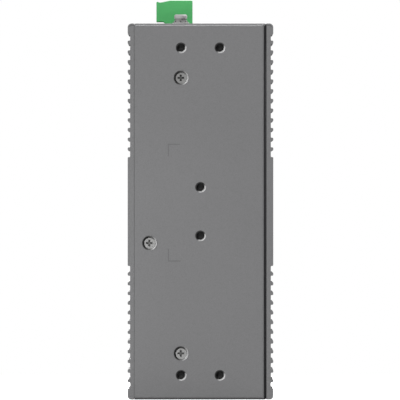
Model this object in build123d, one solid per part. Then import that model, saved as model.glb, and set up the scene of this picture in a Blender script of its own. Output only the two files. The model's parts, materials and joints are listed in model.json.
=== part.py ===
from build123d import *
import os

# Case. The rear mounting face looks towards -Y, +Z is up, and the origin is the middle of the base.
body_width = 60.0
body_height = 155.0
body_depth = 112.0
sheet = 1.0
bend_outer = 1.2
welded_edge = 0.4
fit = 0.15

# Finned side plates, whose ribs run from front to rear.
left_plate_base = 1.6
right_plate_base = 1.8
rib_height = 1.0
rib_width = 1.4
rib_pitch = 4.0
grooves_per_end = 13
end_land = 4.45
rib_tip_radius = 0.45
groove_root_radius = 0.3
edge_break = 0.2
plate_corner_radius = 1.6
left_seam = 0.2
right_gap = 0.5
thermal_inset = 3.0

# Tapped holes in the rear wall that a wall bracket or a rail clip screws to.
wall_hole_span_x = 16.0
wall_hole_inset = 10.0
clip_hole_span_z = 20.0
m4_tap_radius = 1.65
m4_chamfer = 0.55
m4_collar_wall = 1.15
m4_collar_height = 1.2

# Alignment corners engraved in the rear wall.
mark_x = -13.2
mark_below_middle = 20.4
mark_above_middle = 27.7
mark_leg = 4.9
mark_width = 0.42
mark_depth = 0.15

# Countersunk and pan head screws of thread size 3.
m3_radius = 1.45
m3_tap_radius = 1.55
seat_radius = 3.3
head_recess = 0.8
seat_clearance = 0.05
cross_length = 2.7
cross_width = 0.8
cross_depth = 1.0
pan_head_radius = 2.6
pan_head_height = 1.8
pan_head_edge = 0.5
m3_collar_wall = 1.1
m3_collar_height = 1.0

# Screws of the side plates and the tabs that two of them reach through.
side_screw_inset = 9.0
spot_face_radius = 3.5
tab_width = 12.0
tab_overhang = 5.0

# Front panel.
panel_flange = 12.0
panel_screw_x = 14.0
panel_screw_inset = 7.0

# Circuit boards.
board_thickness = 1.6
board_margin = 4.0
board_front_gap = 1.0
board_rear_gap = 5.0
board_hole_radius = 1.7
standoff_radius = 2.75
main_standoff = 4.0
main_hole_rise = 16.0
main_hole_inset = 8.0
main_hole_front = 15.0
main_hole_gap = 8.6

# Network sockets, stacked in pairs.
pair_count = 4
pair_low_gap = 9.7
pair_depth = 32.0
shield_wall = 0.25
shield_gap = 0.05
face_setback = 0.2
socket_width = 11.8
socket_height = 6.8
socket_depth = 13.0
socket_side_wall = 1.4
socket_outer_wall = 1.2
socket_middle_wall = 6.2
latch_width = 6.2
latch_height = 1.5
key_width = 3.4
key_height = 1.0
contact_count = 8
contact_pitch = 1.02
contact_width = 0.45
contact_thickness = 0.3
contact_start = 1.5
contact_lift = 0.1
contact_drop = 1.9
contact_run = 8.0
window_clearance = 0.25
window_web = 1.4

# Cages for optical modules and the connectors inside them.
cage_count = 2
cage_gap = 3.0
cage_width = 14.3
cage_height = 9.2
cage_depth = 48.5
cage_wall = 0.3
cage_rim = 1.0
latch_hole_width = 3.2
latch_hole_length = 3.0
latch_hole_setback = 4.0
host_setback = 2.0
host_width = 11.4
host_height = 5.6
host_depth = 9.5
host_slot_height = 1.4
host_slot_depth = 6.5
host_wall = 1.0

# Status lamps in stacked holders.
lamp_columns = 4
lamp_pitch = 4.0
lamp_row_pitch = 8.0
lamp_top_gap = 10.8
lamp_first_rise = 4.2
lamp_radius = 1.45
lamp_bevel = 0.4
lamp_length = 4.2
lamp_setback = 0.05
lamp_clearance = 0.15
holder_gap = 0.3
holder_depth = 8.0
holder_wall = 0.75
holder_fit = 0.05

# Parts of the main board. A width runs along the depth of the case and a height runs up it.
switch_chip_inset = 32.0
switch_chip_z = 60.0
switch_chip_size = 23.0
switch_chip_thickness = 1.7
sink_margin = 1.0
sink_base = 2.0
sink_fin = 1.0
sink_height = 8.0
sink_fins = 7
magnetics_gap = 4.8
magnetics_width = 12.4
magnetics_height = 15.0
magnetics_thickness = 6.0
memory_gap = 3.5
memory_width = 8.0
memory_height = 10.0
memory_thickness = 1.2
memory_pitch = 14.0
controller_size = 9.0
controller_thickness = 1.0
controller_rise = 9.0
controller_back = 8.0
crystal_width = 3.2
crystal_height = 5.0
crystal_thickness = 1.4
crystal_corner = 0.7
crystal_back = 16.0
crystal_drop = 20.0
chip_bevel = 0.3

# Carrier plate of the power board, held by two screws in the rear wall.
carrier_screw_x = -8.1
carrier_screw_low_z = 19.0
carrier_screw_top_gap = 22.4
carrier_thickness = 1.2
carrier_standoff = 4.0
carrier_tab_height = 11.0
carrier_tab_reach = 4.6
power_low_z = 12.0
power_top_gap = 3.5
power_front_gap = 6.8
power_hole_inset_y = 5.0
power_hole_inset_z = 6.0

# Link between the two boards.
link_inset = 28.0
link_drop = 14.0
link_pin_count = 8
link_pitch = 2.54
link_pin = 0.64
link_pin_tail = 1.5
link_pin_end = 4.0
link_body = 5.0
link_base = 2.5
link_socket_height = 8.5
link_clearance = 0.1
link_window_margin = 1.5

# Plate that takes the power board's heat to the left side plate, held by one screw in the rear wall.
spreader_screw_inset = 6.3
spreader_screw_drop = 5.5
spreader_thickness = 1.5
spreader_gap = 1.8
spreader_below = 24.0
spreader_above = 22.0
spreader_front_gap = 5.0
spreader_tab_height = 12.0
spreader_tab_reach = 5.2
pad_inset = 4.0
pad_thickness = 1.5

# Parts of the power board.
transformer_inset = 24.0
transformer_drop = 81.5
core_width = 18.0
core_height = 24.0
core_leg = 4.0
core_lift = 2.5
winding_width = 26.0
winding_corner = 3.0
winding_gap = 0.1
bobbin_foot = 2.4
bobbin_leg = 3.0
bobbin_leg_height = 12.0
part_row_inset = 8.0
part_row_pitch = 12.0
part_row_rise = 16.5
inductor_size = 12.0
inductor_height = 7.0
inductor_corner = 1.5
inductor_drop = 13.0
inductor_pitch = 18.0
capacitor_count = 3
capacitor_radius = 6.25
capacitor_pitch = 15.0
capacitor_inset = 12.0
capacitor_rise = 5.0
capacitor_end_gap = 1.3
capacitor_bead_z = 2.4
capacitor_bead = 0.6
relay_inset = 22.0
relay_gap = 10.2
relay_width = 20.0
relay_height = 10.0
relay_depth = 10.5
relay_corner = 0.8
fuse_gap = 9.0
fuse_width = 10.0
fuse_height = 5.0
fuse_depth = 4.5
suppressor_drop = 10.0
suppressor_width = 7.0
suppressor_height = 5.6
suppressor_depth = 2.4
transistor_drop = 12.0
transistor_pitch = 10.0
transistor_width = 6.4
transistor_height = 6.2
transistor_depth = 2.3
converter_size = 7.0
converter_depth = 1.2

# Terminal block in the top wall: header, pins and plug.
pole_count = 6
pole_pitch = 5.08
plug_inset = 33.6
plug_right_x = -3.3
plug_width = 14.9
plug_rise = 9.6
plug_lip = 0.9
plug_overhang = 2.9
plug_edge = 0.3
plug_end_wall = 2.8
plug_under_bevel = 1.0
shoulder_run = 5.6
shoulder_end = 1.9
shoulder_drop = 0.75
bead_start = 1.1
bead_high = 0.7
bead_end = 0.2
bead_drop = 0.5
bead_corner = 0.8
nose_width = 7.2
nose_trim = 0.3
nose_reach = 8.2
nose_fit = 0.15
plug_seat_gap = 0.2
header_wall = 0.65
header_depth = 12.2
header_floor = 2.0
header_gap = 0.6
pin_size = 1.0
pin_tail = 1.0
pin_short = 3.0
pin_fit = 0.05
pin_hole_gap = 0.15
cutout_gap = 0.6

# Clamps, screws and openings of the terminal plug.
clamp_left_wall = 7.0
clamp_right_wall = 1.1
clamp_rise = 1.5
clamp_height = 4.4
clamp_width = 4.0
clamp_room = 0.1
clamp_gap = 0.05
clamp_plate = 0.9
clamp_back = 0.6
clamp_cheek = 0.4
blade_thickness = 0.5
blade_width = 2.2
blade_gap = 0.1
blade_lift = 3.0
pocket_x = 3.2
pocket_y = 2.6
wire_mouth_width = 3.6
wire_mouth_left = 1.4
wire_mouth_right = 0.9
screw_well_radius = 2.0
clamp_screw_radius = 1.9
clamp_screw_head = 1.8
clamp_screw_recess = 1.0
clamp_screw_reach = 1.8
clamp_screw_slot = 0.7
clamp_screw_slot_depth = 0.8

# Ground screw on the top wall, with its washers and its clinch nut.
ground_x = -8.15
ground_inset = 10.0
ground_turn = 25.0
ground_tail = 1.6
ground_head_radius = 2.7
ground_head_height = 1.75
flat_washer_radius = 3.5
flat_washer_height = 0.5
tooth_washer_radius = 2.9
tooth_washer_height = 0.75
tooth_count = 8
tooth_notch_depth = 0.5
tooth_notch_width = 0.6
tooth_lean = 20.0
spring_washer_radius = 2.4
spring_washer_height = 0.8
spring_split = 0.35
spring_lean = 20.0
spring_turn = -70.0
ground_nut_radius = 3.2
ground_nut_height = 2.0

# Places that follow from the sizes above: the case.
rear_y = -body_depth / 2
front_y = body_depth / 2
inner_rear_y = rear_y + sheet
left_plate_x = -body_width / 2 + left_plate_base + rib_height
right_plate_x = body_width / 2 - right_plate_base - rib_height
tray_left = left_plate_x + left_seam
tray_right = right_plate_x - right_gap
inner_right = tray_right - sheet
inner_top = body_height - sheet
middle_z = body_height / 2
groove_width = rib_pitch - rib_width
side_screw_z = end_land + groove_width / 2 + rib_pitch

# The boards and what stands at the front.
board_back_x = inner_right - main_standoff
board_face_x = board_back_x - board_thickness
board_front_y = front_y - sheet - board_front_gap
board_rear_y = inner_rear_y + board_rear_gap
face_y = front_y - face_setback
pair_width = socket_width + 2 * socket_side_wall
pair_height = 2 * (socket_outer_wall + socket_height + latch_height + key_height) + socket_middle_wall
pair_pitch = pair_width + 2 * (shield_wall + window_clearance) + window_web
pair_first_z = pair_width / 2 + pair_low_gap
cage_first_z = pair_first_z + pair_count * pair_pitch + cage_gap
lamp_first_z = cage_first_z + cage_count * pair_pitch
holder_width = 2 * (lamp_radius + holder_wall)
lamp_room = body_height - board_margin - lamp_top_gap - lamp_first_z
lamp_rows = int(lamp_room / lamp_row_pitch) + 1

# The terminal block sets the power board's place, and the other parts hang from it.
nose_x = plug_right_x - plug_edge - nose_width / 2
plug_left_x = plug_right_x - plug_width
plug_top_z = body_height + plug_rise
plug_y = rear_y + plug_inset
plug_length = (pole_count - 1) * pole_pitch + 2 * plug_end_wall
header_top_z = inner_top - header_gap
header_low_z = header_top_z - header_depth
power_face_x = nose_x + nose_width / 2 + nose_fit + header_wall
power_back_x = power_face_x + board_thickness
power_front_y = face_y - pair_depth - power_front_gap
power_top_z = body_height - power_top_gap
carrier_x = power_back_x + carrier_standoff
carrier_far_x = carrier_x + carrier_thickness
carrier_screw_high_z = body_height - carrier_screw_top_gap
carrier_low_z = carrier_screw_low_z - carrier_tab_height / 2
carrier_high_z = carrier_screw_high_z + carrier_tab_height / 2
relay_y = board_rear_y + relay_inset
relay_z = header_low_z - relay_gap - relay_height / 2
fuse_y = relay_y + relay_width / 2 + fuse_gap + fuse_width / 2
link_y = board_rear_y + link_inset
link_z = relay_z - link_drop
suppressor_z = relay_z - suppressor_drop
part_row_y = board_rear_y + part_row_inset
part_row_z = carrier_low_z + power_hole_inset_z + part_row_rise
transformer_y = board_rear_y + transformer_inset
transformer_z = power_top_z - transformer_drop
spreader_x = left_plate_x + spreader_gap
spreader_far_x = spreader_x + spreader_thickness
spreader_screw_x = left_plate_x + spreader_screw_inset
spreader_screw_z = transformer_z - spreader_screw_drop
core_x = spreader_far_x + pad_thickness
core_far_x = power_face_x - core_lift
clamp_x0 = plug_left_x + clamp_left_wall
clamp_x1 = plug_right_x - clamp_right_wall
clamp_low_z = body_height + clamp_rise
clamp_high_z = clamp_low_z + clamp_height
clamp_z = (clamp_low_z + clamp_high_z) / 2
ground_y = rear_y + ground_inset

# Parts of the main board that stand beside the switching chip or behind the sockets.
switch_chip_y = board_rear_y + switch_chip_inset
sink_size = switch_chip_size + 2 * sink_margin
memory_y = switch_chip_y - sink_size / 2 - memory_gap - memory_width / 2
magnetics_y = face_y - pair_depth - magnetics_gap - magnetics_width / 2


def block(x0, x1, y0, y1, z0, z1):
    """Block between two corners."""
    return Pos((x0 + x1) / 2, (y0 + y1) / 2, (z0 + z1) / 2) * Box(x1 - x0, y1 - y0, z1 - z0)


def turned(points):
    """Solid turned about Z from a half section of (radius, height) points."""
    section = make_face(Polyline(*[(r, 0, z) for r, z in points], close=True))
    return revolve(section, Axis.Z)


def ring(outer, inner, height):
    """Round tube that stands on its own origin."""
    return turned([(inner, 0), (outer, 0), (outer, height), (inner, height)])


def at(x, y, z, outward):
    """Frame at a point whose Z runs along outward."""
    return Plane(origin=(x, y, z), z_dir=outward)


def on_main_board(y, z, rise=0.0):
    """Frame on the main board's face: X runs to the front, Y runs down and Z leaves the board."""
    return Plane(origin=(board_face_x - rise, y, z), x_dir=(0, 1, 0), z_dir=(-1, 0, 0))


def on_power_board(y, z):
    """Frame on the power board's face: X runs to the front, Y runs down and Z leaves the board."""
    return Plane(origin=(power_face_x, y, z), x_dir=(0, 1, 0), z_dir=(-1, 0, 0))


def join(shapes):
    """One node made of separate solids."""
    return Compound(children=[solid for shape in shapes for solid in shape.solids()])


def screw_seat(reach):
    """Cutter for a countersunk seat: a cone at the surface and a tapped hole below it."""
    cone_end = seat_radius - m3_tap_radius
    return turned(
        [(0, 0), (seat_radius, 0), (m3_tap_radius, -cone_end), (m3_tap_radius, -reach), (0, -reach)]
    )


def cross_slots(face_z):
    """Cutters for a cross recess below a screw's face."""
    slot = Pos(0, 0, face_z - cross_depth / 2) * Box(cross_length, cross_width, cross_depth)
    return [slot, Rot(0, 0, 90) * slot]


def countersunk_screw(reach):
    """Countersunk screw with a cross recess, set a little below the surface it closes."""
    head = seat_radius - head_recess - seat_clearance
    cone_end = head_recess + head - m3_radius
    body = turned(
        [(0, -head_recess), (head, -head_recess), (m3_radius, -cone_end), (m3_radius, -reach), (0, -reach)]
    )
    return body - cross_slots(-head_recess)


def pan_screw(reach, head_radius=pan_head_radius, head_height=pan_head_height):
    """Pan head screw whose head stands on the surface."""
    body = turned(
        [
            (0, head_height),
            (head_radius - pan_head_edge, head_height),
            (head_radius, head_height - pan_head_edge),
            (head_radius, 0),
            (m3_radius, 0),
            (m3_radius, -reach),
            (0, -reach),
        ]
    )
    return body - cross_slots(head_height)


def collar(hole_radius, wall, height):
    """Rim that stands round a tapped hole, rooted in the sheet behind it."""
    return Pos(0, 0, -sheet / 2) * ring(hole_radius + wall, hole_radius / 2, height + sheet / 2)


def m3_collar():
    """Rim round a tapped hole of thread size 3."""
    return collar(m3_tap_radius, m3_collar_wall, m3_collar_height)


def angle_section(corner_x, corner_y, end_x, end_y, thickness):
    """Section of a folded plate: one leg to end_x along the rear wall and one forward to end_y."""
    inward = 1 if end_x > corner_x else -1
    corner = 0 if end_x > corner_x else -1
    middle = Pos((corner_x + end_x) / 2, (corner_y + end_y) / 2)
    leg = Rectangle(abs(end_x - corner_x), end_y - corner_y)
    outer = middle * leg
    outer = fillet(outer.vertices().group_by(Axis.X)[corner].group_by(Axis.Y)[0], 2 * thickness)
    inner = middle * Pos(inward * thickness, thickness) * leg
    inner = fillet(inner.vertices().group_by(Axis.X)[corner].group_by(Axis.Y)[0], thickness)
    return outer - inner


def side_screw_places():
    """Places of the four screws of a side plate, as (y, z)."""
    return [
        (y, z)
        for y in (rear_y + side_screw_inset, front_y - side_screw_inset)
        for z in (side_screw_z, body_height - side_screw_z)
    ]


def finned_section(base):
    """Section of a finned plate: x runs outward from its inner face and y runs up it."""
    thickness = base + rib_height
    first = end_land + groove_width / 2
    low = [first + i * rib_pitch for i in range(grooves_per_end)]
    high = [body_height - h for h in reversed(low)]
    points = [(0, 0), (thickness, 0)]
    radii = [edge_break, plate_corner_radius]
    for h in low + high:
        y0, y1 = h - groove_width / 2, h + groove_width / 2
        points += [(thickness, y0), (base, y0), (base, y1), (thickness, y1)]
        radii += [rib_tip_radius, groove_root_radius, groove_root_radius, rib_tip_radius]
    points += [(thickness, body_height), (0, body_height)]
    radii += [plate_corner_radius, edge_break]
    return make_face(FilletPolyline(*points, radius=radii, close=True))


def side_plate(inner_x, base, side):
    """Finned plate: side is 1 on the right and -1 on the left."""
    plate = extrude(Plane.XZ.offset(-front_y) * finned_section(base), body_depth)
    if side < 0:
        plate = mirror(plate, Plane.YZ)
    plate = Pos(inner_x, 0, 0) * plate
    cuts = []
    for y, z in side_screw_places():
        spot = at(inner_x + side * base, y, z, (side, 0, 0))
        cuts.append(spot * Pos(0, 0, rib_height) * Cylinder(spot_face_radius, 2 * rib_height))
        cuts.append(spot * screw_seat(3 * base))
    return plate - cuts


def side_plate_screws(inner_x, base, side):
    """The four countersunk screws of one side plate."""
    reach = base + left_seam + right_gap + sheet + m3_collar_height
    screws = [
        at(inner_x + side * base, y, z, (side, 0, 0)) * countersunk_screw(reach)
        for y, z in side_screw_places()
    ]
    return join(screws)


def folded_block(x0, x1, y0, y1, z0, z1, fold, weld):
    """Block rounded as folded sheet is: fold at the rear edges, weld along the right-hand ones."""
    plan = Pos((x0 + x1) / 2, (y0 + y1) / 2) * Rectangle(x1 - x0, y1 - y0)
    plan = fillet(plan.vertices().group_by(Axis.X)[-1].group_by(Axis.Y)[0], fold)
    side = Pos((y0 + y1) / 2, (z0 + z1) / 2) * Rectangle(y1 - y0, z1 - z0)
    side = fillet(side.vertices().group_by(Axis.X)[0], fold)
    end = Pos((x0 + x1) / 2, (z0 + z1) / 2) * Rectangle(x1 - x0, z1 - z0)
    end = fillet(end.vertices().group_by(Axis.X)[-1], weld)
    rise = extrude(Plane.XY.offset(z0) * plan, z1 - z0)
    across = extrude(Plane.YZ.offset(x0) * side, x1 - x0)
    along = extrude(Plane.XZ.offset(-y1) * end, y1 - y0)
    return rise & across & along


def rear_tapped_places():
    """Places of the tapped holes in the rear wall, as (x, z)."""
    wall = [
        (side * wall_hole_span_x / 2, z)
        for side in (-1, 1)
        for z in (wall_hole_inset, body_height - wall_hole_inset)
    ]
    clip = [(0.0, middle_z + side * clip_hole_span_z / 2) for side in (-1, 1)]
    return wall + clip


def rear_screw_places():
    """Places of the countersunk screws in the rear wall, as (x, z)."""
    return [
        (carrier_screw_x, carrier_screw_low_z),
        (carrier_screw_x, carrier_screw_high_z),
        (spreader_screw_x, spreader_screw_z),
    ]


def panel_screw_places():
    """Places of the front panel's screws in the top and bottom walls, as (x, y)."""
    return [(side * panel_screw_x, front_y - panel_screw_inset) for side in (-1, 1)]


def engraved_corner(z, rise):
    """Cutter for one alignment corner, whose upright leg runs up or down by the sign of rise."""
    half = mark_width / 2
    y0, y1 = rear_y - mark_depth, rear_y + mark_depth
    low, high = min(z, z + rise * mark_leg), max(z, z + rise * mark_leg)
    flat = block(mark_x - half, mark_x + mark_leg, y0, y1, z - half, z + half)
    return flat + block(mark_x - half, mark_x + half, y0, y1, low, high)


def terminal_cutout():
    """Opening that the terminal plug stands in."""
    x0 = plug_left_x + plug_overhang - cutout_gap
    x1 = plug_right_x + cutout_gap
    half = plug_length / 2 + cutout_gap
    return block(x0, x1, plug_y - half, plug_y + half, inner_top - sheet, body_height + sheet)


def side_tab(y, z):
    """Tab that hangs from the top or bottom wall at the open left side, for a side plate screw."""
    reach = side_screw_z + tab_overhang
    tab = block(tray_left, tray_left + sheet, y - tab_width / 2, y + tab_width / 2, sheet / 2, reach)
    if z > middle_z:
        tab = Pos(0, 0, body_height - reach - sheet / 2) * tab
    return tab


def tapped_bore():
    """Cutter for a chamfered tapped hole of the rear wall."""
    deep = 2 * (sheet + m4_collar_height)
    mouth = m4_tap_radius + m4_chamfer
    return turned([(0, 0), (mouth, 0), (m4_tap_radius, -m4_chamfer), (m4_tap_radius, -deep), (0, -deep)])


def chassis_tray():
    """Folded tray: rear, top, bottom and right walls, open to the left and the front."""
    outer = folded_block(
        tray_left, tray_right, rear_y, front_y, 0, body_height, bend_outer, welded_edge
    )
    inner = block(tray_left - sheet, inner_right, inner_rear_y, front_y + sheet, sheet, inner_top)
    m4_collar = collar(m4_tap_radius, m4_collar_wall, m4_collar_height)
    seat = screw_seat(4 * sheet)
    added, cuts = [], []
    for y, z in side_screw_places():
        added.append(side_tab(y, z))
        added.append(at(tray_left + sheet, y, z, (1, 0, 0)) * m3_collar())
        added.append(at(inner_right, y, z, (-1, 0, 0)) * m3_collar())
        cuts.append(Pos(0, y, z) * Rot(0, 90, 0) * Cylinder(m3_tap_radius, body_width))
    for x, z in rear_tapped_places():
        added.append(at(x, inner_rear_y, z, (0, 1, 0)) * m4_collar)
        cuts.append(at(x, rear_y, z, (0, -1, 0)) * tapped_bore())
    for x, z in rear_screw_places():
        cuts.append(at(x, rear_y, z, (0, -1, 0)) * seat)
    for x, y in panel_screw_places():
        cuts.append(at(x, y, body_height, (0, 0, 1)) * seat)
        cuts.append(at(x, y, 0, (0, 0, -1)) * seat)
    cuts.append(engraved_corner(middle_z + mark_above_middle, -1))
    cuts.append(engraved_corner(middle_z - mark_below_middle, 1))
    cuts.append(terminal_cutout())
    cuts.append(Pos(ground_x, ground_y, inner_top) * Cylinder(m3_tap_radius, 4 * sheet))
    return outer - inner + added - cuts


def rear_screws():
    """The three countersunk screws in the rear wall, which hold the carrier and the heat spreader."""
    reach = sheet + 2 * spreader_thickness
    return join([at(x, rear_y, z, (0, -1, 0)) * countersunk_screw(reach) for x, z in rear_screw_places()])


def front_panel_screws():
    """Countersunk screws that hold the front panel's flanges to the top and bottom walls."""
    reach = 2 * sheet + fit + m3_collar_height
    screws = []
    for x, y in panel_screw_places():
        screws.append(at(x, y, body_height, (0, 0, 1)) * countersunk_screw(reach))
        screws.append(at(x, y, 0, (0, 0, -1)) * countersunk_screw(reach))
    return join(screws)


def pair_heights():
    """Height of the middle of each pair of sockets."""
    return [pair_first_z + i * pair_pitch for i in range(pair_count)]


def cage_heights():
    """Height of the middle of each optical cage."""
    return [cage_first_z + i * pair_pitch for i in range(cage_count)]


def lamp_heights():
    """Height of each row of lamps."""
    return [lamp_first_z + i * lamp_row_pitch for i in range(lamp_rows)]


def lamp_offsets():
    """Distance of each column of lamps from the middle of the case."""
    return [board_face_x - lamp_first_rise - i * lamp_pitch for i in range(lamp_columns)]


def window(height, width, z):
    """Cutter for a window of the front panel that ends at the main board's face."""
    x0, x1 = board_face_x - height, board_face_x
    return block(x0, x1, front_y - 2 * sheet, front_y + sheet, z - width / 2, z + width / 2)


def front_panel():
    """Front panel: a face with socket windows and a flange along its top and bottom."""
    x0, x1 = tray_left, inner_right - fit
    z0, z1 = sheet + fit, inner_top - fit
    y0 = front_y - panel_flange
    middle = Pos((y0 + front_y) / 2, (z0 + z1) / 2)
    outer = middle * Rectangle(panel_flange, z1 - z0)
    outer = fillet(outer.vertices().group_by(Axis.X)[-1], bend_outer)
    inner = middle * Pos(-sheet, 0) * Rectangle(panel_flange, z1 - z0 - 2 * sheet)
    inner = fillet(inner.vertices().group_by(Axis.X)[-1], bend_outer - sheet)
    panel = extrude(Plane.YZ.offset(x0) * (outer - inner), x1 - x0)
    notch = tray_left + sheet + 2 * m3_collar_height
    seat = screw_seat(4 * sheet)
    around = shield_wall + window_clearance
    added, cuts = [], []
    cuts.append(block(x0 - sheet, notch, y0 - sheet, front_y - 2 * sheet, z0 - sheet, z1 + sheet))
    for z in pair_heights():
        cuts.append(window(pair_height + around, pair_width + 2 * around, z))
    for z in cage_heights():
        cuts.append(window(cage_height + window_clearance, cage_width + 2 * window_clearance, z))
    for z in lamp_heights():
        for x in lamp_offsets():
            hole = Cylinder(lamp_radius + lamp_clearance, 4 * sheet)
            cuts.append(Pos(x, front_y, z) * Rot(90, 0, 0) * hole)
    for x, y in panel_screw_places():
        added.append(at(x, y, z1 - sheet, (0, 0, -1)) * m3_collar())
        added.append(at(x, y, z0 + sheet, (0, 0, 1)) * m3_collar())
        cuts.append(at(x, y, body_height, (0, 0, 1)) * seat)
        cuts.append(at(x, y, 0, (0, 0, -1)) * seat)
    return panel + added - cuts


def thermal_sheet():
    """Heat conducting sheet between the tray's right wall and the right side plate."""
    edge = thermal_inset
    pad = block(tray_right, right_plate_x, rear_y + edge, front_y - edge, edge, body_height - edge)
    hole = Cylinder(seat_radius, 4 * right_gap)
    return pad - [Pos(right_plate_x, y, z) * Rot(0, 90, 0) * hole for y, z in side_screw_places()]


def main_hole_places():
    """Places of the main board's screws, as (y, z)."""
    low = board_margin + main_hole_rise
    high = body_height - low
    rear = board_rear_y + main_hole_inset
    middle = magnetics_y - magnetics_width / 2 - main_hole_gap
    return [(rear, low), (rear, high), (board_front_y - main_hole_front, high), (middle, low)]


def main_board():
    """Main circuit board, upright beside the right wall."""
    board = block(
        board_face_x, board_back_x, board_rear_y, board_front_y, board_margin, body_height - board_margin
    )
    hole = Cylinder(board_hole_radius, 4 * board_thickness)
    return board - [Pos(board_face_x, y, z) * Rot(0, 90, 0) * hole for y, z in main_hole_places()]


def main_standoffs():
    """Threaded pillars between the right wall and the main board."""
    pillar = ring(standoff_radius, m3_tap_radius, main_standoff)
    return join([at(board_back_x, y, z, (1, 0, 0)) * pillar for y, z in main_hole_places()])


def main_board_screws():
    """Screws that hold the main board to its pillars."""
    screw = pan_screw(board_thickness + 0.8 * main_standoff)
    return join([at(board_face_x, y, z, (-1, 0, 0)) * screw for y, z in main_hole_places()])


def socket_profile():
    """Outline of one network socket: x runs across it and y runs from its contacts to its latch."""
    latch_top = socket_height + latch_height
    mouth = Pos(0, socket_height / 2) * Rectangle(socket_width, socket_height)
    latch = Pos(0, latch_top / 2) * Rectangle(latch_width, latch_top)
    key = Pos(0, (latch_top + key_height) / 2) * Rectangle(key_width, latch_top + key_height)
    return mouth + latch + key


def socket_frames():
    """Frames of a pair's two sockets, seen from the front, with y from the contacts to the latch."""
    inner = socket_outer_wall + socket_height + latch_height + key_height
    near = Plane(origin=(-inner, 0, 0), x_dir=(0, 0, 1), z_dir=(0, 1, 0))
    far = Plane(origin=(inner - pair_height, 0, 0), x_dir=(0, 0, -1), z_dir=(0, 1, 0))
    return near, far


def socket_pair(z):
    """Moulded housing of two stacked sockets."""
    housing = block(-pair_height + shield_wall, 0, -pair_depth, 0, -pair_width / 2, pair_width / 2)
    housing -= [extrude(frame * socket_profile(), -socket_depth) for frame in socket_frames()]
    return Pos(board_face_x, face_y, z) * housing


def pair_shields():
    """Plated shields folded round the socket housings, open at the front and towards the board."""
    half = pair_width / 2 + shield_gap
    wall = shield_wall
    top, rear = -pair_height + wall - shield_gap, -pair_depth - shield_gap
    outer = block(top - wall, -shield_gap, rear - wall, 0, -half - wall, half + wall)
    shield = outer - block(top, wall, rear, wall, -half, half)
    return join([Pos(board_face_x, face_y, z) * shield for z in pair_heights()])


def socket_contacts():
    """Gold contact wires, slanting back from the inner wall of every socket."""
    y0, y1 = -contact_start, -contact_start - contact_run
    wire = make_face(
        Polyline(
            (y0, contact_lift),
            (y1, contact_drop),
            (y1, contact_drop + contact_thickness),
            (y0, contact_lift + contact_thickness),
            close=True,
        )
    )
    start = -(contact_count - 1) / 2 * contact_pitch
    wires = []
    for z in pair_heights():
        for frame in socket_frames():
            side = Plane(origin=frame.origin, x_dir=frame.z_dir, z_dir=frame.x_dir)
            outline = wire if side.y_dir.dot(frame.y_dir) > 0 else mirror(wire, Plane.XZ)
            for i in range(contact_count):
                offset = start + i * contact_pitch - contact_width / 2
                solid = extrude(side.offset(offset) * outline, contact_width)
                wires.append(Pos(board_face_x, face_y, z) * solid)
    return join(wires)


def module_cage(z):
    """Folded cage for one optical module, open at the front and under its host connector."""
    x0, x1 = board_face_x - cage_height, board_face_x - shield_gap
    y0 = face_y - cage_depth
    half = cage_width / 2
    room = half - cage_wall
    rim = half - cage_rim
    host_y = y0 + host_setback + host_depth + cage_rim
    latch_y = face_y - latch_hole_setback
    cage = block(x0, x1, y0, face_y, z - half, z + half)
    hollow = block(x0 + cage_wall, x1 - cage_wall, y0 + cage_wall, face_y + cage_wall, z - room, z + room)
    under = block(x1 - cage_rim, x1 + cage_rim, y0 + cage_rim, host_y, z - rim, z + rim)
    latch = block(
        x1 - cage_rim,
        x1 + cage_rim,
        latch_y - latch_hole_length,
        latch_y,
        z - latch_hole_width / 2,
        z + latch_hole_width / 2,
    )
    return cage - [hollow, under, latch]


def host_connectors():
    """Edge connectors that the optical modules plug into."""
    x0 = board_face_x - host_height
    y0 = face_y - cage_depth + host_setback
    y1 = y0 + host_depth
    slot_x = x0 + (host_height - host_slot_height) / 2
    half = host_width / 2
    room = half - host_wall
    connectors = []
    for z in cage_heights():
        body = block(x0, board_face_x, y0, y1, z - half, z + half)
        slot = block(slot_x, slot_x + host_slot_height, y1 - host_slot_depth, y1 + sheet, z - room, z + room)
        connectors.append(body - slot)
    return join(connectors)


def lamp_holders():
    """Stacked holders that carry the status lamps at the board's front edge."""
    half = holder_width / 2
    x0 = min(lamp_offsets()) - half
    y1 = front_y - sheet - holder_gap
    bore = Cylinder(lamp_radius + holder_fit, 2 * (lamp_length - sheet))
    holders = []
    for z in lamp_heights():
        body = block(x0, board_face_x, y1 - holder_depth, y1, z - half, z + half)
        holders.append(body - [Pos(x, y1, z) * Rot(90, 0, 0) * bore for x in lamp_offsets()])
    return join(holders)


def lamps():
    """Round status lamps, whose domes stand in the panel's holes."""
    lamp = turned(
        [
            (0, 0),
            (lamp_radius - lamp_bevel, 0),
            (lamp_radius, -lamp_bevel),
            (lamp_radius, -lamp_length),
            (0, -lamp_length),
        ]
    )
    front = front_y - lamp_setback
    return join([at(x, front, z, (0, 1, 0)) * lamp for z in lamp_heights() for x in lamp_offsets()])


def chip(width, height, thickness):
    """Flat chip, with bevelled edges on its outer face."""
    body = block(-width / 2, width / 2, -height / 2, height / 2, 0, thickness)
    return chamfer(body.faces().sort_by(Axis.Z)[-1].edges(), chip_bevel)


def rounded_part(width, height, thickness, corner):
    """Upright part with rounded corners."""
    body = block(-width / 2, width / 2, -height / 2, height / 2, 0, thickness)
    return fillet(body.edges().filter_by(Axis.Z), corner)


def switch_chip():
    """Switching chip on the main board."""
    body = chip(switch_chip_size, switch_chip_size, switch_chip_thickness)
    return on_main_board(switch_chip_y, switch_chip_z) * body


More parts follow.
